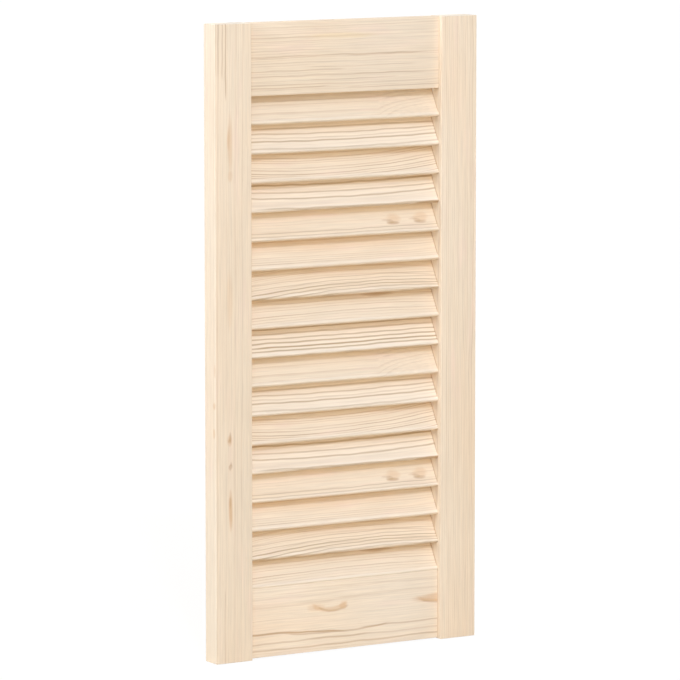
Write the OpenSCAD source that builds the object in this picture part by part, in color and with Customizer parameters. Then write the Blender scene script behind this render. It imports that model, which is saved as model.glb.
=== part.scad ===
// Louvred door leaf for a cupboard, in plain pine: two stiles, two rails and fixed slats.
// The leaf stands upright with its front towards -Y. The origin is the middle of the left
// stile's outer edge, where the hinges are screwed on.

/* [Leaf] */
// Width of the leaf over both stiles
door_w = 294; // [240:1:400]
// Height of the stiles
door_h = 615; // [560:1:670]
// Thickness of the stiles
door_th = 21; // [20:0.5:24]

/* [Frame] */
// Width of each stile
stile_w = 40; // [34:1:55]
// Radius of the stiles' eased long edges
stile_edge_r = 0.5; // [0.3:0.1:2]
// Height of the top rail
rail_top_h = 70; // [55:1:85]
// Height of the bottom rail
rail_bottom_h = 68; // [55:1:85]
// Thickness of both rails, which sit midway in the stiles
rail_th = 10.5; // [9:0.5:13]
// Radius of the rails' eased long edges
rail_edge_r = 0.5; // [0.3:0.1:1.5]
// How far the stiles run past the underside of the bottom rail
stile_horn = 1; // [0.5:0.1:4]

/* [Slats] */
// Number of slats between the rails
slat_count = 17; // [16:1:18]
// Thickness of a slat
slat_th = 5; // [4.4:0.1:5.5]
// Lean of the slats from upright, top towards the back
slat_tilt = 30; // [27:0.5:31]
// Radius of the eased nose along each slat's lower edge
slat_edge_r = 2; // [0.8:0.1:2.1]
// How far a slat's top edge rises past the nose of the slat above
slat_lap = 0.2; // [0:0.1:0.5]
// Height planed level off the lowest slat's nose, so that it beds on the bottom rail
slat_bed = 1.1; // [0.6:0.1:1.4]

/* [Joints] */
// Depth of the angled housings that take the slats' ends
housing_depth = 8; // [5:0.5:12]
// Length of the rails' tenons
tenon_l = 25; // [15:1:28]
// Thickness of the rails' tenons
tenon_th = 6; // [4:0.5:7]
// Shoulder above and below each tenon
tenon_shoulder = 10; // [6:1:16]

/* [Clearances] */
// Play round a slat's end in its housing
slat_clear = 0.1; // [0.05:0.05:0.2]
// Play round a tenon in its mortise
tenon_clear = 0.1; // [0.05:0.05:0.2]
// Space left between an end and the bottom of its housing or mortise
end_clear = 0.3; // [0.1:0.1:0.6]
// Space between the lowest slat and the bottom rail
nose_clear = 0.1; // [0.1:0.1:0.4]

/* [Hidden] */
// Turns two digits into a slat's name, counted from the top
function slat_name(n) = str("slat_", floor(n / 10), n % 10);
SLAT_NAMES = [for (n = [1:slat_count]) slat_name(n)];
$fn = 48;

// Cuts run this far past the faces that they open
overrun = 2;

// Levels up the leaf
leaf_bottom = -door_h / 2;
leaf_top = door_h / 2;
opening_bottom = leaf_bottom + stile_horn + rail_bottom_h;
opening_top = leaf_top - rail_top_h;
opening_w = door_w - 2 * stile_w;
slat_pitch = (opening_top - opening_bottom + slat_bed) / slat_count;

// Planes through the leaf's thickness
back_y = door_th / 2;
rail_front_y = -rail_th / 2;

// A slat's section, drawn from the sharp corner under its eased nose.
// Easing draws the nose in, so the corner stands ahead of the rails by that much.
corner_y = rail_front_y - slat_edge_r * (cos(slat_tilt) + sin(slat_tilt) - 1);
// The back of the nose hangs lowest, this far below the corner
nose_drop = (slat_th - slat_edge_r) * sin(slat_tilt) - slat_edge_r * cos(slat_tilt) + slat_edge_r;
slat_w = (slat_pitch + slat_lap - nose_drop) / cos(slat_tilt);
slat_l = opening_w + 2 * (housing_depth - end_clear);

function nose_z(n) = opening_top - n * slat_pitch;

// Rectangle from the origin with four eased corners, for the stiles and rails
module eased_section(w, h, r) {
    translate([r, 0]) square([w - 2 * r, h]);
    translate([0, r]) square([w, h - 2 * r]);
    for (x = [r, w - r], y = [r, h - r]) translate([x, y]) circle(r = r);
}

// Slat strip standing on its eased nose, square at the top, grown by some play on every side
module nosed_section(play = 0) {
    r = slat_edge_r;
    translate([r, -play]) square([slat_th - 2 * r, slat_w + 2 * play]);
    translate([-play, r]) square([slat_th + 2 * play, slat_w - r + play]);
    for (x = [r, slat_th - r]) translate([x, r]) circle(r = r + play);
}

// Lays a section drawn in depth and height along X
module along_x(length) {
    rotate([90, 0, 90]) linear_extrude(height = length) children();
}

// One slat's whole section in its place, before the back of it is planed flush
module leaning_section(n, play = 0) {
    translate([corner_y, nose_z(n) + nose_drop]) rotate(-slat_tilt) nosed_section(play);
}

// The part of the leaning section that lies within the thickness of the leaf and clear of the rail
module slat_section(n) {
    low_z = max(nose_z(n) - overrun, opening_bottom + nose_clear);
    intersection() {
        leaning_section(n);
        translate([-back_y, low_z]) square([door_th, slat_pitch + slat_w]);
    }
}

// A housing's outline: it runs out at the back, and the lowest one stops level with the rail
module housing_section(n) {
    low_z = max(nose_z(n) - overrun, opening_bottom);
    intersection() {
        leaning_section(n, slat_clear);
        translate([-back_y, low_z]) square([door_th + slat_w, slat_pitch + slat_w]);
    }
}

module slat(n) {
    color("burlywood")
        translate([stile_w - housing_depth + end_clear, 0, 0]) along_x(slat_l) slat_section(n);
}

// Cross member with a tenon at each end, its lower face at the given height
module rail(bottom_z, height) {
    color("wheat") {
        translate([stile_w, 0, 0]) along_x(opening_w)
            translate([rail_front_y, bottom_z]) eased_section(rail_th, height, rail_edge_r);
        translate([stile_w - tenon_l, 0, 0]) along_x(opening_w + 2 * tenon_l)
            tenon_section(bottom_z, height);
    }
}

module tenon_section(bottom_z, height, play = 0) {
    translate([-tenon_th / 2 - play, bottom_z + tenon_shoulder - play])
        square([tenon_th + 2 * play, height - 2 * (tenon_shoulder - play)]);
}

// Left-hand stile; the right-hand one is its mirror image
module stile() {
    mortise_l = tenon_l + end_clear;
    difference() {
        translate([0, -back_y, leaf_bottom])
            linear_extrude(height = door_h) eased_section(stile_w, door_th, stile_edge_r);
        for (n = [1:slat_count])
            translate([stile_w - housing_depth, 0, 0])
                along_x(housing_depth + overrun) housing_section(n);
        translate([stile_w - mortise_l, 0, 0]) along_x(mortise_l + overrun) {
            tenon_section(opening_top, rail_top_h, tenon_clear);
            tenon_section(leaf_bottom + stile_horn, rail_bottom_h, tenon_clear);
        }
    }
}

module stile_left() {
    color("bisque") stile();
}

module stile_right() {
    color("bisque") translate([door_w, 0, 0]) mirror([1, 0, 0]) stile();
}

module rail_top() {
    rail(opening_top, rail_top_h);
}

module rail_bottom() {
    rail(leaf_bottom + stile_horn, rail_bottom_h);
}

stile_left();
stile_right();
rail_top();
rail_bottom();
for (n = [1:slat_count]) slat(n);
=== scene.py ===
import math

import bmesh
import bpy
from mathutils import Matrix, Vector


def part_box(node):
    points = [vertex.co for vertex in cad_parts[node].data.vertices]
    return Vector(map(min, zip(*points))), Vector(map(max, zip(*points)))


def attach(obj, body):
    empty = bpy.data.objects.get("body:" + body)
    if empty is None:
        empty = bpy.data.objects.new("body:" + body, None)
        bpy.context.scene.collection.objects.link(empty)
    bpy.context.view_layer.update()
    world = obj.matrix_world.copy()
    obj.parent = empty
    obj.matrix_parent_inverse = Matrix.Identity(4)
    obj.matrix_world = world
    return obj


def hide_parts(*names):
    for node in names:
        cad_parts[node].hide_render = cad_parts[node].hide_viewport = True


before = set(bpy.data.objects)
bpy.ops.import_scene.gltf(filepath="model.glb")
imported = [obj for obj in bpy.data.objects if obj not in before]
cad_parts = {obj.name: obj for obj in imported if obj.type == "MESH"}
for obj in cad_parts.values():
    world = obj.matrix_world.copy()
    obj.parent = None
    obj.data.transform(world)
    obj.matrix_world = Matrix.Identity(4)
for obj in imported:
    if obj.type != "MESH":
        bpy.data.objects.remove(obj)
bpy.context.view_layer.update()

# Stiles
# Two upright members of planed pine with their long edges eased. Angled housings are routed
# into their inner edges for the slats' ends, and break out at the back.

MM = 0.001
LEFT_LO, LEFT_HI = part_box("stile_left")
RIGHT_LO, RIGHT_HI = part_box("stile_right")
BACK_Y = LEFT_HI.y
STILE_EDGE_R = 0.5 * MM
END_ARRIS = 0.7 * MM
HOUSING_DEPTH = 8.0 * MM
HOUSING_PLAY = 0.2 * MM
OVERRUN = 2.0 * MM

# The housings follow the slats' section. The lowest slat is planed level underneath, so the
# pitch is taken from the sixteen above it.
SLAT_COUNT = 17
SLAT_TH = 5.0 * MM
SLAT_TILT = math.radians(30)
SLAT_NOSE_R = 2.0 * MM
RAIL_FRONT_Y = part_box("rail_top")[0].y
SLAT_LO, SLAT_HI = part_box("slat_01")
SLAT_PITCH = (SLAT_LO.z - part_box("slat_16")[0].z) / (SLAT_COUNT - 2)


def smooth_faces(mesh, angle=math.radians(35)):
    """Shades the faces smoothly and keeps the edges sharp that turn by more than the angle."""
    for face in mesh.polygons:
        face.use_smooth = True
    mesh.set_sharp_from_angle(angle=angle)


def link(name, mesh):
    """Puts a mesh or a curve in the scene."""
    piece = bpy.data.objects.new(name, mesh)
    bpy.context.scene.collection.objects.link(piece)
    return piece


def eased_board(name, lo, hi, axis, radius):
    """A board from corner to corner, its long edges along the axis rounded and its ends just broken."""
    bm = bmesh.new()
    for corner in [(x, y, z) for y in (lo.y, hi.y) for z in (lo.z, hi.z) for x in (lo.x, hi.x)]:
        bm.verts.new(corner)
    bmesh.ops.convex_hull(bm, input=bm.verts)
    bmesh.ops.dissolve_limit(bm, angle_limit=math.radians(5), verts=bm.verts, edges=bm.edges)
    across = [i for i in range(3) if i != axis]
    hair = 0.01 * MM  # anything shorter counts as nought

    def runs_along(edge):
        ends = edge.verts[1].co - edge.verts[0].co
        return all(abs(ends[i]) < hair for i in across)

    def lies_in_end(edge):
        return abs(edge.verts[0].co[axis] - edge.verts[1].co[axis]) < hair

    long_edges = [edge for edge in bm.edges if runs_along(edge)]
    bmesh.ops.bevel(bm, geom=long_edges, offset=radius, segments=5, profile=0.5, affect="EDGES")
    end_edges = [edge for edge in bm.edges if lies_in_end(edge)]
    bmesh.ops.bevel(bm, geom=end_edges, offset=END_ARRIS, segments=2, profile=0.5, affect="EDGES")
    bmesh.ops.recalc_face_normals(bm, faces=bm.faces)
    mesh = bpy.data.meshes.new(name)
    bm.to_mesh(mesh)
    bm.free()
    smooth_faces(mesh)
    return link(name, mesh)


def slat_outline(play=0.0, flush=True):
    """The slat's section as (depth, height) points, height counted from the nose's lowest point."""
    r, reach = SLAT_NOSE_R, SLAT_NOSE_R + play
    sin, cos = math.sin(SLAT_TILT), math.cos(SLAT_TILT)
    corner_y = RAIL_FRONT_Y - r * (cos + sin - 1)
    drop = (SLAT_TH - r) * sin - r * cos + r
    width = (SLAT_HI.z - SLAT_LO.z - drop) / cos
    steps = 8  # in each quarter round of the nose
    local = []
    for centre, start in ((r, 180), (SLAT_TH - r, 270)):
        for step in range(steps + 1):
            turn = math.radians(start + 90 * step / steps)
            local.append((centre + reach * math.cos(turn), r + reach * math.sin(turn)))
    local += [(SLAT_TH + play, width + play), (-play, width + play)]
    leaning = [(corner_y + v * cos + u * sin, drop - v * sin + u * cos) for v, u in local]
    if not flush:
        return leaning
    kept = []
    for here, after in zip(leaning, leaning[1:] + leaning[:1]):
        if here[0] <= BACK_Y:
            kept.append(here)
        if (here[0] <= BACK_Y) != (after[0] <= BACK_Y):
            share = (BACK_Y - here[0]) / (after[0] - here[0])
            kept.append((BACK_Y, here[1] + share * (after[1] - here[1])))
    return kept


def outline_curve(name, points):
    """A closed flat curve that sweeps true along X, where a profile is turned half round."""
    curve = bpy.data.curves.new(name, "CURVE")
    spline = curve.splines.new("POLY")
    spline.points.add(len(points) - 1)
    for point, (depth, height) in zip(spline.points, points):
        point.co = (-depth, -height, 0, 1)
    spline.use_cyclic_u = True
    return link(name, curve)


class Wire:
    """One output in a node tree. Sums on wires add Math nodes to that tree."""

    def __init__(self, tree, socket=None):
        self.tree = tree
        self.socket = socket

    def node(self, kind, settings=None, sockets=None, output=0):
        """Adds any node: its settings first, then the values or wires of its sockets."""
        made = self.tree.nodes.new(kind)
        for name, value in (settings or {}).items():
            setattr(made, name, value)
        for key, value in (sockets or {}).items():
            named = [s for s in made.inputs if s.identifier == key]
            socket = named[0] if named else made.inputs[key]
            if isinstance(value, Wire):
                self.tree.links.new(value.socket, socket)
            else:
                socket.default_value = value
        found = [s for s in made.outputs if s.identifier == output]
        return Wire(self.tree, found[0] if found else made.outputs[output])

    def maths(self, operation, *values):
        return self.node("ShaderNodeMath", {"operation": operation}, dict(enumerate(values)))

    def noise(self, x, y, z, detail=2.0):
        """Soft noise about nought, stretched by scaling each of its coordinates."""
        where = self.node("ShaderNodeCombineXYZ", {}, {"X": x, "Y": y, "Z": z})
        return self.node("ShaderNodeTexNoise", {}, {"Vector": where, "Scale": 1.0, "Detail": detail}) - 0.5

    def rise(self, low, high):
        """Goes smoothly from 0 to 1 between two values."""
        return self.node("ShaderNodeMapRange", {"interpolation_type": "SMOOTHSTEP"},
                         {"Value": self, "From Min": low, "From Max": high})

    def mixed(self, one, other):
        """Mixes two colours by this share."""
        return self.node("ShaderNodeMix", {"data_type": "RGBA"},
                         {"Factor_Float": self, "A_Color": one, "B_Color": other}, "Result_Color")

    def part(self, axis):
        """One coordinate of a vector, by its letter."""
        return self.node("ShaderNodeSeparateXYZ", {}, {"Vector": self}, axis)

    def __abs__(self):
        return self.maths("ABSOLUTE", self)

    def __add__(self, other):
        return self.maths("ADD", self, other)

    def __sub__(self, other):
        return self.maths("SUBTRACT", self, other)

    def __rsub__(self, other):
        return self.maths("SUBTRACT", other, self)

    def __mul__(self, other):
        return self.maths("MULTIPLY", self, other)

    def __truediv__(self, other):
        return self.maths("DIVIDE", self, other)

    def __pow__(self, other):
        return self.maths("POWER", self, other)

    __radd__ = __add__
    __rmul__ = __mul__


def louvre_tree():
    """Sweeps a section along X and repeats it down the leaf, bowing each strip a little."""
    stations = 33  # along a strip
    bow_waves = 9.0  # to the metre
    tree = bpy.data.node_groups.new("louvre", "GeometryNodeTree")
    tree.interface.new_socket("Geometry", in_out="OUTPUT", socket_type="NodeSocketGeometry")
    inputs = {"Section": "Object", "Start": "Float", "Length": "Float", "Count": "Int", "Pitch": "Float",
              "First Nose": "Float", "Bow": "Float", "Seed": "Float", "Material": "Material"}
    for name, kind in inputs.items():
        tree.interface.new_socket(name, in_out="INPUT", socket_type="NodeSocket" + kind)
    start = Wire(tree)
    given = {name: start.node("NodeGroupInput", output=i) for i, name in enumerate(inputs)}
    section = start.node("GeometryNodeObjectInfo", {}, {"Object": given["Section"]}, "Geometry")
    begin = start.node("ShaderNodeCombineXYZ", {}, {"X": given["Start"]})
    end = start.node("ShaderNodeCombineXYZ", {}, {"X": given["Start"] + given["Length"]})
    line = start.node("GeometryNodeCurvePrimitiveLine", {}, {"Start": begin, "End": end})
    line = start.node("GeometryNodeResampleCurve", {}, {"Curve": line, "Count": stations})
    strip = start.node("GeometryNodeCurveToMesh", {},
                       {"Curve": line, "Profile Curve": section, "Fill Caps": True})
    place = start.node("GeometryNodeInputPosition")
    strip = start.node("GeometryNodeStoreNamedAttribute", {"data_type": "FLOAT_VECTOR", "domain": "POINT"},
                       {"Geometry": strip, "Name": "strip_place", "Value": place})
    first = start.node("ShaderNodeCombineXYZ", {}, {"Z": given["First Nose"]})
    step = start.node("ShaderNodeCombineXYZ", {}, {"Z": 0 - given["Pitch"]})
    seats = start.node("GeometryNodeMeshLine", {"mode": "OFFSET"},
                       {"Count": given["Count"], "Start Location": first, "Offset": step})
    slats = start.node("GeometryNodeInstanceOnPoints", {}, {"Points": seats, "Instance": strip})
    number = start.node("GeometryNodeInputIndex") + 1
    slats = start.node("GeometryNodeStoreNamedAttribute", {"data_type": "FLOAT", "domain": "INSTANCE"},
                       {"Geometry": slats, "Name": "slat_no", "Value": number})
    slats = start.node("GeometryNodeRealizeInstances", {}, {"Geometry": slats})
    number = start.node("GeometryNodeInputNamedAttribute", {"data_type": "FLOAT"}, {"Name": "slat_no"})
    x = place.part("X")
    # A strip is free to bow in its middle, and held at its ends.
    share = (x - given["Start"]) / given["Length"]
    free = share * (1 - share) * 4
    where = start.node("ShaderNodeCombineXYZ", {}, {"X": x, "Y": number + given["Seed"]})
    bend = start.node("ShaderNodeTexNoise", {"noise_dimensions": "2D"},
                      {"Vector": where, "Scale": bow_waves, "Detail": 1.0}) - 0.5
    lift = bend * free * given["Bow"] * 2
    moved = start.node("ShaderNodeCombineXYZ", {}, {"Z": lift})
    slats = start.node("GeometryNodeSetPosition", {}, {"Geometry": slats, "Offset": moved})
    slats = start.node("GeometryNodeSetMaterial", {}, {"Geometry": slats, "Material": given["Material"]})
    out = tree.nodes.new("NodeGroupOutput")
    tree.links.new(slats.socket, out.inputs[0])
    return tree


def grow(name, tree, values):
    """Runs a tree with the given inputs and returns its result as a plain mesh."""
    seed = link(name, bpy.data.meshes.new(name))
    modifier = seed.modifiers.new(name, "NODES")
    modifier.node_group = tree
    for item in tree.interface.items_tree:
        if item.in_out == "INPUT" and item.name in values:
            modifier[item.identifier] = values[item.name]
    graph = bpy.context.evaluated_depsgraph_get()
    mesh = bpy.data.meshes.new_from_object(seed.evaluated_get(graph))
    bpy.data.objects.remove(seed)
    return mesh


def cut(piece, cutter):
    """Takes the cutter out of the piece and removes the cutter."""
    modifier = piece.modifiers.new("cut", "BOOLEAN")
    modifier.operation = "DIFFERENCE"
    modifier.solver = "EXACT"
    modifier.object = cutter
    graph = bpy.context.evaluated_depsgraph_get()
    mesh = bpy.data.meshes.new_from_object(piece.evaluated_get(graph))
    piece.modifiers.remove(modifier)
    piece.data = mesh
    bpy.data.objects.remove(cutter)


def plane_level(mesh, level):
    """Planes off whatever hangs below a level, and closes the mesh there."""
    bm = bmesh.new()
    bm.from_mesh(mesh)
    geom = bm.verts[:] + bm.edges[:] + bm.faces[:]
    made = bmesh.ops.bisect_plane(bm, geom=geom, plane_co=(0, 0, level), plane_no=(0, 0, -1),
                                  clear_outer=True)
    rim = [item for item in made["geom_cut"] if isinstance(item, bmesh.types.BMEdge)]
    bmesh.ops.holes_fill(bm, edges=rim)
    bm.to_mesh(mesh)
    bm.free()


def srgb(red, green, blue):
    """A colour as it shows on a screen, in steps of 255, as a linear one."""
    share = [c / 255 for c in (red, green, blue)]
    return [c / 12.92 if c <= 0.04045 else ((c + 0.055) / 1.055) ** 2.4 for c in share] + [1]


EARLY_WOOD = srgb(240, 222, 196)
LATE_WOOD = srgb(189, 152, 112)
WARM_TINT = srgb(240, 206, 168)
ROSY_TINT = srgb(244, 212, 194)
# Painted light: end faces, the stiles' tops among them, show pale and whitish as if lit from above.
PAINTED_END_LIGHT = srgb(248, 240, 224)
KNOT_WOOD = srgb(216, 172, 122)
KNOT_RIM = srgb(178, 134, 84)

# The most that a ring, a rosy patch, a pore or the painted light on end faces covers of what lies under it.
RING_SHARE = 0.95
ROSY_SHARE = 0.3
PORE_SHARE = 0.16
PAINTED_END_SHARE = 0.7

# How far the rings stray from true rounds, in long, middling and short waves.
WANDER = 5.0 * MM
WANDER_DEEP = 3.0 * MM
SWAY = 2.2 * MM
RIPPLE = 0.7 * MM

# How far the outline of a mark frays along the board and across it.
FRAY_ALONG = 5.0 * MM
FRAY_ACROSS = 2.4 * MM

# A board's sag is how far its rings have moved across at this distance from its middle.
HALF_BOARD = 115.0 * MM

FIBRE_LIGHT = 0.19
TONE_LIGHT = 0.1
PLANED_ROUGHNESS = 0.62
PLANED_GLOSS = 0.3
RELIEF = 0.1 * MM


class Board:
    """How one board was sawn: where its pith lies, how it runs, and how bold its rings are.
    Across, deep, ring, sag and dive_from are in mm. From dive_from on, to the side of dive_side,
    the pith runs into the board by the slope dive."""

    def __init__(self, across, deep, ring, contrast, seed, lean=0.0, sag=0.0, dive=0.0, dive_from=0.0,
                 dive_side=1.0, warmth=0.2):
        self.pith = (across * MM, deep * MM, ring * MM)
        self.run = (lean, sag * MM, contrast)
        self.dive = (dive, dive_from * MM, dive_side)
        self.look = (seed, warmth, 0.0)


def pine(name, place_of, board_of, marks_of=None):
    """Planed pine: growth rings round a pith beside the board, fibres along it, slow changes of tone.
    Soft noise is told by its waves to the metre, along the board and across it."""
    material = bpy.data.materials.new(name)
    material.use_nodes = True
    tree = material.node_tree
    shader = tree.nodes["Principled BSDF"]
    start = Wire(tree)
    along, across, deep, end_on = place_of(start)
    pith, run, slope, look = board_of(start)
    pith_across, pith_deep, ring = pith
    lean, sag, contrast = run
    dive, dive_from, dive_side = slope
    seed, warmth = look[:2]

    def soft(waves_along, waves_across, shift=seed, detail=2.0):
        return start.noise(along * waves_along + shift, across * waves_across, deep * waves_across, detail)

    # How far a spot lies from the pith, which is seldom straight.
    wander = soft(4, 14)
    bent = along / HALF_BOARD
    off_across = across - pith_across - along * lean - bent * bent * sag + wander * WANDER
    off_across = off_across + soft(16, 36) * SWAY + soft(45, 130, detail=1.0) * RIPPLE
    past = start.maths("MAXIMUM", along * dive_side - dive_from, 0)
    off_deep = deep - pith_deep - past * dive + wander * WANDER_DEEP
    radius = (off_across * off_across + off_deep * off_deep) ** 0.5

    # Late wood darkens through the second half of a year and ends sharply. It is bolder in some
    # years and patches than in others.
    count = radius / ring + seed
    count = count + start.noise(count * 0.55 + seed, 0.3, 0.7, 1.0) * 2.4
    year = start.maths("FLOOR", count)
    season = count - year
    late = season.rise(0.5, 0.9) * (1 - season.rise(0.9, 1.0))
    dry = start.node("ShaderNodeTexWhiteNoise", {"noise_dimensions": "1D"}, {"W": year + seed * 7}, "Value")
    patchy = start.noise(along * 12 + seed, year * 3.7, 0.5).rise(-0.25, 0.2)
    late = late * (dry * 0.85 + 0.3) * (patchy * 0.6 + 0.4)

    # Fibres and short pores run along the board. Grain follows the rings.
    fibre = soft(30, 1000, detail=3.0)
    grain = start.noise(along * 22 + seed, off_across * 480, off_deep * 480, 2.0)
    pore = soft(90, 2600, detail=0.0).rise(0.2, 0.36)
    bloom = soft(5, 26).rise(-0.15, 0.3)
    rosy = soft(14, 70, shift=0 - seed).rise(0.02, 0.3)
    tone = soft(3, 12, shift=0 - seed)

    ringed = start.maths("MINIMUM", late * contrast, RING_SHARE)
    colour = ringed.mixed(EARLY_WOOD, LATE_WOOD)
    colour = (bloom * warmth).mixed(colour, WARM_TINT)
    colour = (rosy * ROSY_SHARE).mixed(colour, ROSY_TINT)
    colour = (pore * PORE_SHARE).mixed(colour, LATE_WOOD)
    near = (along + start.noise(along * 130, across * 160, seed) * FRAY_ALONG,
            across + start.noise(seed, along * 32, across * 70, 1.0) * FRAY_ACROSS)
    for share, stain in (marks_of(start, *near) if marks_of else ()):
        colour = share.mixed(colour, stain)
    # Painted light: end faces are painted pale and whitish, which lightens the stiles' tops.
    colour = (end_on.rise(0.6, 0.95) * PAINTED_END_SHARE).mixed(colour, PAINTED_END_LIGHT)
    light = fibre * FIBRE_LIGHT + grain * FIBRE_LIGHT + tone * TONE_LIGHT + 1
    colour = start.node("ShaderNodeVectorMath", {"operation": "SCALE"}, {"Vector": colour, "Scale": light})
    tree.links.new(colour.socket, shader.inputs["Base Color"])
    rough = PLANED_ROUGHNESS - late * 0.1 + fibre * 0.08
    tree.links.new(rough.socket, shader.inputs["Roughness"])
    shader.inputs["Specular IOR Level"].default_value = PLANED_GLOSS
    height = late * contrast * 0.5 + fibre * 0.5 - pore * 0.5
    bump = start.node("ShaderNodeBump", {}, {"Height": height, "Strength": 0.5, "Distance": RELIEF})
    tree.links.new(bump.socket, shader.inputs["Normal"])
    return material


def sawn(board):
    """Gives a whole piece the figure of one board."""
    return lambda start: (board.pith, board.run, board.dive, board.look)


def blot(along, across, at, height, reach, depth, soft=0.5):
    """A rounded mark, its middle and half sizes in mm, faded over a share of its edge."""
    far = ((along - at * MM) / (reach * MM)) ** 2 + ((across - height * MM) / (depth * MM)) ** 2
    return 1 - far.rise(1 - soft, 1 + soft)


def arc(along, across, at, height, reach, lift, thick):
    """A thin curved line whose ends, a reach to each side, stand higher by the lift, all in mm."""
    out = (along - at * MM) / (reach * MM)
    off = abs(across - height * MM - out * out * (lift * MM))
    return (1 - off.rise(thick * 0.3 * MM, thick * MM)) * (1 - (out * out).rise(0.7, 1.15))


def blots(along, across, rows, soft, stain):
    """Blots of one stain, from rows of place along, place across, half length, half width and boldness."""
    return [(blot(along, across, *row[:4], soft) * row[4], stain) for row in rows]


def bold_rings(along, across, rows, stain):
    """Arcs of one stain, from rows of place along, place across, reach, lift, thickness and boldness."""
    return [(arc(along, across, *row[:5]) * row[5], stain) for row in rows]


def facing(start, axis):
    """How squarely the surface faces along an axis."""
    return abs(start.node("ShaderNodeNewGeometry", output="Normal").part(axis))


def on_board(middle, axes):
    """Reads a place on a board as along, across and into it, by the letters of its axes in that order."""
    def place_of(start):
        spot = start.node("ShaderNodeTexCoord", output="Object")
        place = [spot.part(axis) - getattr(middle, axis.lower()) for axis in axes]
        return *place, facing(start, axes[0])
    return place_of


louvre = louvre_tree()
housing_curve = outline_curve("housing_outline", slat_outline(HOUSING_PLAY, flush=False))

# Marks on the left stile's outer edge show this far out from its middle, and fade inwards.
OUTER_FROM, OUTER_FULL = 15.0 * MM, 18.0 * MM


def left_stile_marks(start, along, across):
    """Short brown streaks and small knots in the left stile, three of them on its outer edge, and a
    few bold rings near its ends."""
    streaks = [(194, -3.8, 24, 2.6, 0.36), (198, -5.0, 10, 1.4, 0.3), (44, -4.2, 26, 3.2, 0.22),
               (163, -3.6, 5.0, 2.2, 0.3), (-159, -4.2, 17, 1.9, 0.62), (-91, -5.0, 4.4, 2.6, 0.4)]
    knots = [(-151, -4.6, 6.0, 1.1, 0.24), (-88, -4.0, 4.6, 1.2, 0.45), (-91, -5.2, 2.2, 1.4, 0.3),
             (-117, -4.0, 3.0, 2.0, 0.42), (-114, -3.2, 2.6, 1.0, 0.25)]
    rings = [(290, -11.8, 34, 0.2, 0.8, 0.42), (290, -8.3, 54, 0.2, 1.0, 0.55),
             (298, -16.4, 40, 0.2, 0.8, 0.34), (298, -18.7, 40, 0.1, 0.7, 0.32),
             (-285, -10.4, 50, 0, 0.7, 0.3)]
    edge_knots = [(-23, -8.6, 6.0, 1.6, 0.3), (-57, -7.6, 3.2, 2.4, 0.42), (-84, -7.0, 4.4, 1.8, 0.42)]
    deep = start.node("ShaderNodeTexCoord", output="Object").part("Y")
    outer = facing(start, "X").rise(0.6, 0.95) * (0 - across).rise(OUTER_FROM, OUTER_FULL)
    return ([(share * outer, stain) for share, stain in blots(along, deep, edge_knots, 0.95, KNOT_WOOD)]
            + blots(along, across, streaks, 0.98, KNOT_WOOD)
            + blots(along, across, knots, 0.95, KNOT_RIM)
            + bold_rings(along, across, rings, LATE_WOOD))


STILE_BOARDS = {
    "stile_left": (Board(-48, 22, 2.6, 0.34, 3.1, lean=0.006, warmth=0.2), left_stile_marks),
    "stile_right": (Board(75, 15, 2.1, 0.42, 8.7, lean=-0.004, warmth=0.25), None),
}
for node, (lo, hi) in {"stile_left": (LEFT_LO, LEFT_HI), "stile_right": (RIGHT_LO, RIGHT_HI)}.items():
    stile = eased_board(node + "_board", lo, hi, 2, STILE_EDGE_R)
    cut_from = hi.x - HOUSING_DEPTH if node == "stile_left" else lo.x - OVERRUN
    cutter = grow("housings", louvre, {"Section": housing_curve, "Start": cut_from,
                                       "Length": HOUSING_DEPTH + OVERRUN, "Count": SLAT_COUNT,
                                       "Pitch": SLAT_PITCH, "First Nose": SLAT_LO.z})
    plane_level(cutter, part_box("rail_bottom")[1].z)
    cut(stile, link("housings", cutter))
    smooth_faces(stile.data)
    board, marks = STILE_BOARDS[node]
    wood = pine(node + "_pine", on_board((lo + hi) / 2, "ZXY"), sawn(board), marks)
    stile.data.materials.clear()
    stile.data.materials.append(wood)
    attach(stile, "root")
    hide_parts(node)
bpy.data.objects.remove(housing_curve)

# Rails
# Two cross members of planed pine, half as thick as the stiles and set midway in them,
# glued in on tenons. Their faces lie level with the slats' noses.

RAIL_EDGE_R = 0.5 * MM
# Left open at each shoulder
JOINT_LINE = 0.06 * MM
PALE_WOOD = srgb(251, 239, 221)
YELLOW_WOOD = srgb(240, 214, 160)


def top_rail_marks(start, along, across):
    """The top rail's paler right-hand part, a faint yellow streak, and the rings that stand out."""
    rings = [(-20, 1.6, 110, -0.6, 0.9, 0.42), (70, 1.2, 70, -0.4, 0.9, 0.22),
             (-60, -12.4, 60, 0.4, 0.8, 0.38), (-20, -17.6, 110, 0.6, 0.8, 0.34),
             (20, -9.6, 60, 0.3, 0.7, 0.25), (70, -17.8, 60, 0.3, 0.8, 0.2),
             (-70, -28.6, 50, 0.3, 0.9, 0.35), (60, -30.4, 60, -0.4, 0.8, 0.25),
             (10, -22.0, 50, 0.3, 0.7, 0.25)]
    return (blots(along, across, [(95, 0, 100, 60, 0.3)], 1.0, PALE_WOOD)
            + blots(along, across, [(-2, 19.8, 34, 2.4, 0.3)], 0.9, YELLOW_WOOD)
            + bold_rings(along, across, rings, LATE_WOOD))


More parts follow.
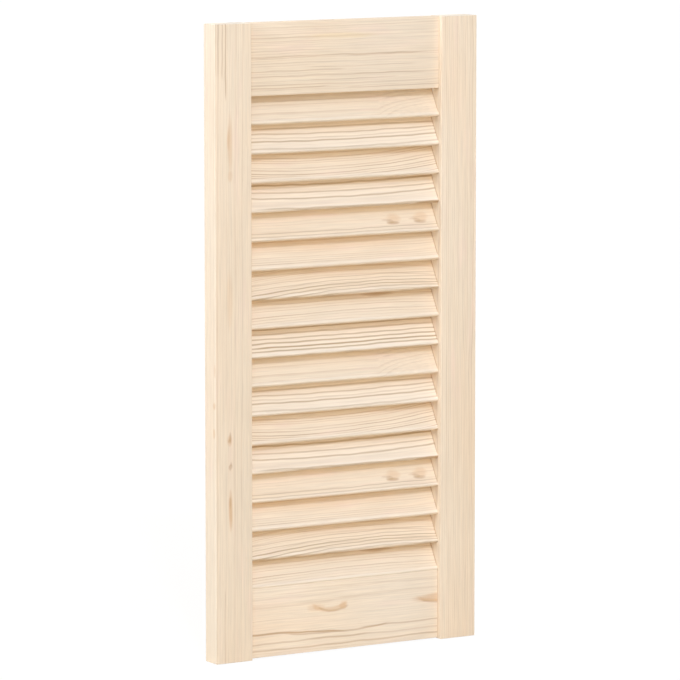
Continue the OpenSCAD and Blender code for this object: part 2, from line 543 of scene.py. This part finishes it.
def bottom_rail_marks(start, along, across):
    """The bottom rail's paler right-hand part, two knots cut along their length, and the rings that
    stand out above and below them."""
    knots = [(blot(along, across, 118, 7.0, 36, 4.2, 0.7) * 0.5, KNOT_WOOD),
             (arc(along, across, 118, 3.0, 35, 5.0, 2.4) * 0.42, KNOT_WOOD),
             (arc(along, across, 114, 1.6, 26, 4.0, 1.5) * 0.3, KNOT_RIM),
             (arc(along, across, -17, 6.0, 20, 5.4, 3.4) * 0.4, KNOT_WOOD),
             (arc(along, across, -13, 4.6, 17, 4.2, 1.7) * 0.34, KNOT_RIM),
             (blot(along, across, -2.0, 9.0, 3.8, 3.6, 1.0) * 0.4, KNOT_WOOD),
             (blot(along, across, -33, 9.4, 9.0, 3.2, 1.0) * 0.3, KNOT_WOOD)]
    rings = [(-104, -11.8, 104, -5.4, 1.4, 0.75), (-8, -16.9, 58, 3.0, 1.2, 0.5),
             (78, -14.8, 62, -0.3, 1.1, 0.42), (-60, -21.4, 90, -0.6, 1.1, 0.4),
             (50, -22.4, 90, 0.6, 1.0, 0.28), (0, -28.6, 130, 1.2, 1.1, 0.45),
             (60, 17.5, 70, -1.0, 1.6, 0.16), (-70, 14.0, 60, 1.0, 1.6, 0.2),
             (-60, 22.0, 60, 0.5, 1.0, 0.16), (20, 26.6, 100, -0.8, 1.0, 0.16)]
    return (blots(along, across, [(95, 0, 80, 60, 0.24)], 1.0, PALE_WOOD) + knots
            + bold_rings(along, across, rings, LATE_WOOD))


RAIL_BOARDS = {
    "rail_top": (Board(-110, 30, 2.3, 0.5, 5.3, lean=0.002, warmth=0.15), top_rail_marks),
    "rail_bottom": (Board(-60, 34, 2.2, 0.26, 1.9, lean=-0.012, warmth=0.3), bottom_rail_marks),
}
for node, (board, marks) in RAIL_BOARDS.items():
    lo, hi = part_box(node)
    lo.x, hi.x = LEFT_HI.x + JOINT_LINE, RIGHT_LO.x - JOINT_LINE
    rail = eased_board(node + "_board", lo, hi, 0, RAIL_EDGE_R)
    wood = pine(node + "_pine", on_board((lo + hi) / 2, "XZY"), sawn(board), marks)
    rail.data.materials.append(wood)
    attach(rail, "root")
    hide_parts(node)

# Slats
# Seventeen fixed strips of moulded pine with an eased nose, leaning back, their ends glued
# into the stiles' housings and their backs planed flush with the leaf.

LEAF_MIDDLE = (LEFT_LO + RIGHT_HI) / 2
HALF_GAP = (RIGHT_LO.x - LEFT_HI.x) / 2
SLAT_BED_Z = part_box("slat_17")[0].z
SLAT_BOW = 0.15 * MM
BOW_SEED = 4.0

# These bring the nose of a slat's section, once it is turned upright, to nought.
STRIP_UP = 3.5 * MM
STRIP_IN = 6.1 * MM

# The planks that the slats were sawn from, used in turn down the leaf.
SLAT_BOARDS = (
    Board(-4, 22, 4.0, 0.36, 11.0, dive=-0.3, dive_from=40, warmth=0.15),
    Board(-70, 25, 4.4, 0.3, 4.0, sag=2.8, warmth=0.1),
    Board(-75, 30, 3.0, 1.0, 6.0, lean=0.02, sag=6.0, warmth=0.1),
    Board(-80, 20, 4.8, 0.25, 9.0, sag=3.4, warmth=0.15),
    Board(-60, 18, 4.6, 0.25, 2.0, sag=1.0, warmth=0.2),
    Board(-90, 20, 2.6, 0.6, 7.0, warmth=0.45),
    Board(-70, 18, 2.2, 0.5, 5.0, sag=-8.0, warmth=0.1),
    Board(-60, 22, 3.3, 0.7, 13.0, sag=-2.0, warmth=0.15),
    Board(-85, 20, 4.1, 0.3, 3.0, sag=0.8, warmth=0.1),
)
PLANK_ROWS = ("pith", "run", "dive", "look")
# Planks with a mark of their own, counted from 1.
WANED = 4
KNOTTY = 5
STREAKED = 8
PALE_PLANKS = (2, 4, 9)


def slat_strip(start):
    """Reads a place on a slat as along, across its face and into it, from the attribute swept with it."""
    spot = start.node("ShaderNodeAttribute", {"attribute_name": "strip_place"}, output="Vector")
    x, y, z = [spot.part(axis) for axis in "XYZ"]
    sin, cos = math.sin(SLAT_TILT), math.cos(SLAT_TILT)
    across = y * sin + z * cos + STRIP_UP
    deep = y * cos - z * sin + STRIP_IN
    return x - LEAF_MIDDLE.x, across, deep, facing(start, "X")


def read_plank(start):
    """Reads how a slat's plank was sawn, in the four triples written on its mesh."""
    rows = []
    for name in PLANK_ROWS:
        row = start.node("ShaderNodeAttribute", {"attribute_name": name}, output="Vector")
        rows.append([row.part(axis) for axis in "XYZ"])
    return rows


# Rings that stand out in a plank: middle along, height there, reach, lift of the ends, thickness, boldness.
BOLD_RINGS = {
    2: [(0, 26.4, 130, 0, 1.2, 0.5), (0, 19.8, 120, 2.4, 1.1, 0.55), (0, 15.1, 125, 3.9, 1.1, 0.28),
        (0, 12.0, 120, 2.4, 1.2, 0.65), (0, 3.8, 120, 2.8, 1.2, 0.42)],
    4: [(-5, 27.3, 125, 3.2, 1.4, 0.75), (0, 19.0, 120, 3.0, 1.2, 0.5), (0, 12.8, 120, 3.6, 1.2, 0.6),
        (40, 2.4, 140, 2.0, 1.4, 0.5)],
    5: [(0, 8.4, 125, 0.3, 0.9, 0.42), (0, 4.8, 125, 0.3, 0.9, 0.45)],
    7: [(30, 20.0, 150, -6.0, 0.8, 0.34), (30, 16.2, 150, -7.6, 0.8, 0.42),
        (30, 12.7, 150, -9.6, 0.9, 0.62), (34, 9.6, 150, -10.4, 0.9, 0.58),
        (40, 6.4, 150, -10.4, 0.9, 0.5), (44, 3.4, 150, -10.0, 0.9, 0.36)],
    9: [(0, 29.9, 140, 0.2, 1.3, 0.6), (0, 24.4, 140, 0.4, 1.2, 0.62), (10, 19.2, 140, 0.6, 1.1, 0.64),
        (20, 14.9, 140, 0.4, 1.2, 0.72), (30, 10.5, 140, 0.4, 1.2, 0.84), (20, 6.9, 140, 0.4, 1.1, 0.68),
        (0, 1.4, 140, 0, 1.2, 0.46)],
}
RING_SHADE = srgb(183, 152, 112)
# A painted highlight runs pale all along each slat's lower edge, by the nose: a straight ring in the same
# order.
NOSE_HIGHLIGHT = (0, 3.9, 400, 0, 2.2, 0.4)
PALE_SHARE = 0.35

# A thin brown line of painted shade darkens each slat where it enters its housing, in the corner against
# the stile. It starts out in the gap, is full close to the stile, ends a little way inside, and fades
# towards the nose.
END_SHADE_START = HALF_GAP - 1.2 * MM
END_SHADE_FULL = HALF_GAP - 0.5 * MM
END_SHADE_END = HALF_GAP + 0.3 * MM
END_SHADE_LOW, END_SHADE_HIGH = 2.0 * MM, 10.0 * MM
END_SHADE_SHARE = 0.55

# The two knots of the knotty plank: place along, and how dark the middle is.
SLAT_KNOTS = ((57.0, 0.46), (88.0, 0.36))


def slat_marks(start, along, across):
    """Painted shade at the slats' ends, a painted highlight along their lower edges, bold rings in some
    planks, two small knots in the fifth, bark on the fourth's nose and a streak in the eighth."""
    _, _, _, (_, _, plank) = read_plank(start)

    def only(number, rows):
        drawn = plank.maths("COMPARE", plank, number, 0.5)
        return [(share * drawn, stain) for share, stain in rows]

    from_middle = abs(slat_strip(start)[0])
    # Painted shade in the corner where a slat meets its stile, stronger up the face under the nose above.
    end_shade = from_middle.rise(END_SHADE_START, END_SHADE_FULL) * across.rise(END_SHADE_LOW, END_SHADE_HIGH)
    end_shade = end_shade * (1 - from_middle.rise(HALF_GAP, END_SHADE_END))
    marks = []
    for number in PALE_PLANKS:
        marks += only(number, [(PALE_SHARE, PALE_WOOD)])
    # Painted shade at the slats' ends.
    marks.append((end_shade * END_SHADE_SHARE, KNOT_RIM))
    # Painted highlight along each slat's lower edge.
    marks += bold_rings(along, across, [NOSE_HIGHLIGHT], PALE_WOOD)
    for number, rings in BOLD_RINGS.items():
        marks += only(number, bold_rings(along, across, rings, RING_SHADE))
    for at, darkness in SLAT_KNOTS:
        rim = [(at + 0.5, 12.0, 6.4, 1.6, darkness), (at - 3.0, 13.4, 3.6, 2.2, 0.3),
               (at - 6.5, 15.4, 4.4, 1.1, 0.24)]
        marks += only(KNOTTY, blots(along, across, [(at + 2.5, 16.6, 7.0, 5.0, 0.34)], 1.0, KNOT_WOOD)
                      + blots(along, across, rim, 1.0, KNOT_RIM))
    marks += only(WANED, blots(along, across, [(99, -0.4, 22, 3.8, 0.55)], 0.3, KNOT_RIM))
    return marks + only(STREAKED, blots(along, across, [(44, 29.0, 16, 2.2, 0.45)], 1.0, KNOT_RIM))


slat_wood = pine("slat_pine_wood", slat_strip, read_plank, slat_marks)
outline = outline_curve("slat_outline", slat_outline())
slat_mesh = grow("slats", louvre, {"Section": outline, "Start": SLAT_LO.x, "Length": SLAT_HI.x - SLAT_LO.x,
                                   "Count": SLAT_COUNT, "Pitch": SLAT_PITCH, "First Nose": SLAT_LO.z,
                                   "Bow": SLAT_BOW, "Seed": BOW_SEED, "Material": slat_wood})
bpy.data.objects.remove(outline)
plane_level(slat_mesh, SLAT_BED_Z)
smooth_faces(slat_mesh)
numbers = [round(item.value) for item in slat_mesh.attributes["slat_no"].data]
planks = [(number - 1) % len(SLAT_BOARDS) for number in numbers]
for name in PLANK_ROWS:
    column = slat_mesh.attributes.new(name, "FLOAT_VECTOR", "POINT")
    rows = [list(getattr(board, name)) for board in SLAT_BOARDS]
    if name == "look":
        rows = [[seed, warmth, number] for number, (seed, warmth, _) in enumerate(rows, 1)]
    column.data.foreach_set("vector", [value for plank in planks for value in rows[plank]])
slats = link("slats", slat_mesh)
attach(slats, "root")
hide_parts(*[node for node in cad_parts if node.startswith("slat_")])

# Floor and light
# A plain white studio floor. Soft lamps stand in front on the left, on both sides of the leaf and
# behind it, where their light comes through between the slats. A faint warm light fills the shade.

FLOOR_REACH = 30.0
FLOOR_GAP = 0.5 * MM
FLOOR_PAPER = srgb(230, 226, 216)
PAPER_WHITE = (1, 1, 1, 1)
PAPER_LEVEL = 1.06
# How much of what the camera sees of the floor is plain white. The rest keeps the shadow.
WHITE_SHARE = 0.88
WARM_AIR = (1.3, 1.0, 0.66, 1)
AIR_LEVEL = 0.1

floor_mesh = bpy.data.meshes.new("floor")
floor_z = LEFT_LO.z - FLOOR_GAP
floor_mesh.from_pydata([(x * FLOOR_REACH, y * FLOOR_REACH, floor_z) for x, y in
                        ((-1, -1), (1, -1), (1, 1), (-1, 1))], [], [(0, 1, 2, 3)])
floor = link("floor", floor_mesh)


def seen_directly(start):
    """1 for rays from the camera, also by way of a mirror or glass."""
    rays = ("Is Camera Ray", "Is Glossy Ray", "Is Transmission Ray")
    seen = [start.node("ShaderNodeLightPath", output=ray) for ray in rays]
    return start.maths("MAXIMUM", start.maths("MAXIMUM", seen[0], seen[1]), seen[2])


paper = bpy.data.materials.new("floor_paper")
paper.use_nodes = True
tree = paper.node_tree
tree.nodes.remove(tree.nodes["Principled BSDF"])
start = Wire(tree)
lit = start.node("ShaderNodeBsdfDiffuse", {}, {"Color": FLOOR_PAPER})
white = start.node("ShaderNodeEmission", {}, {"Color": PAPER_WHITE, "Strength": PAPER_LEVEL})
surface = start.node("ShaderNodeMixShader", {}, {0: seen_directly(start) * WHITE_SHARE, 1: lit, 2: white})
tree.links.new(surface.socket, tree.nodes["Material Output"].inputs["Surface"])
floor_mesh.materials.append(paper)

world = bpy.data.worlds.new("studio")
bpy.context.scene.world = world
world.use_nodes = True
tree = world.node_tree
start = Wire(tree)
around = tree.nodes["Background"]
seen = seen_directly(start)
tree.links.new(seen.mixed(WARM_AIR, PAPER_WHITE).socket, around.inputs["Color"])
tree.links.new((seen * (1 - AIR_LEVEL) + AIR_LEVEL).socket, around.inputs["Strength"])

COOL = (0.91, 1.0, 1.18)
SIDE_COOL = (0.92, 1.03, 1.22)
WARM = (1.2, 1.0, 0.72)
PLAIN = (1, 1, 1)
LAMP_AWAY = 5.0


def far_lamp(name, turn, height, width, level, tint):
    """A soft lamp far off, so many degrees left of square on and so many up, and so many wide. It
    lights a sheet that faces it to the level."""
    lamp = bpy.data.lights.new(name, "SUN")
    lamp.angle = math.radians(width)
    lamp.energy = level * math.pi
    lamp.color = tint
    stand = bpy.data.objects.new(name, lamp)
    bpy.context.scene.collection.objects.link(stand)
    turn, height = math.radians(turn), math.radians(height)
    flat = math.cos(height)
    away = Vector((-math.sin(turn) * flat, -math.cos(turn) * flat, math.sin(height)))
    stand.location = LEAF_MIDDLE + away * LAMP_AWAY
    stand.rotation_euler = (-away).to_track_quat("-Z", "Y").to_euler()


far_lamp("key", 24, 35, 3, 0.24, COOL)
far_lamp("low_front", 8, 17, 4, 0.1, WARM)
far_lamp("wide_front", 20, 40, 60, 0.415, COOL)
far_lamp("side", 90, 20, 20, 0.51, SIDE_COOL)
far_lamp("back", 180, 25, 40, 0.42, WARM)
far_lamp("right", -94, 8, 20, 0.32, PLAIN)

# Camera
# Stands to the left of the leaf and a little above it, far off with a long lens.

CAMERA_PLACE = (-2.24996, -3.98058, 0.59027)
CAMERA_YAW = math.radians(-31.0296)
CAMERA_DIP = math.radians(7.28464)
# The film's width and the lens are in mm.
CAMERA_FILM = 36
CAMERA_LENS = 255.63
CAMERA_REACH = 100

eye = bpy.data.cameras.new("camera")
eye.sensor_width = CAMERA_FILM
eye.lens = CAMERA_LENS
eye.clip_end = CAMERA_REACH
camera = bpy.data.objects.new("camera", eye)
bpy.context.scene.collection.objects.link(camera)
camera.location = CAMERA_PLACE
camera.rotation_euler = (math.radians(90) - CAMERA_DIP, 0, CAMERA_YAW)
bpy.context.scene.camera = camera
bpy.context.scene.view_settings.view_transform = "Standard"
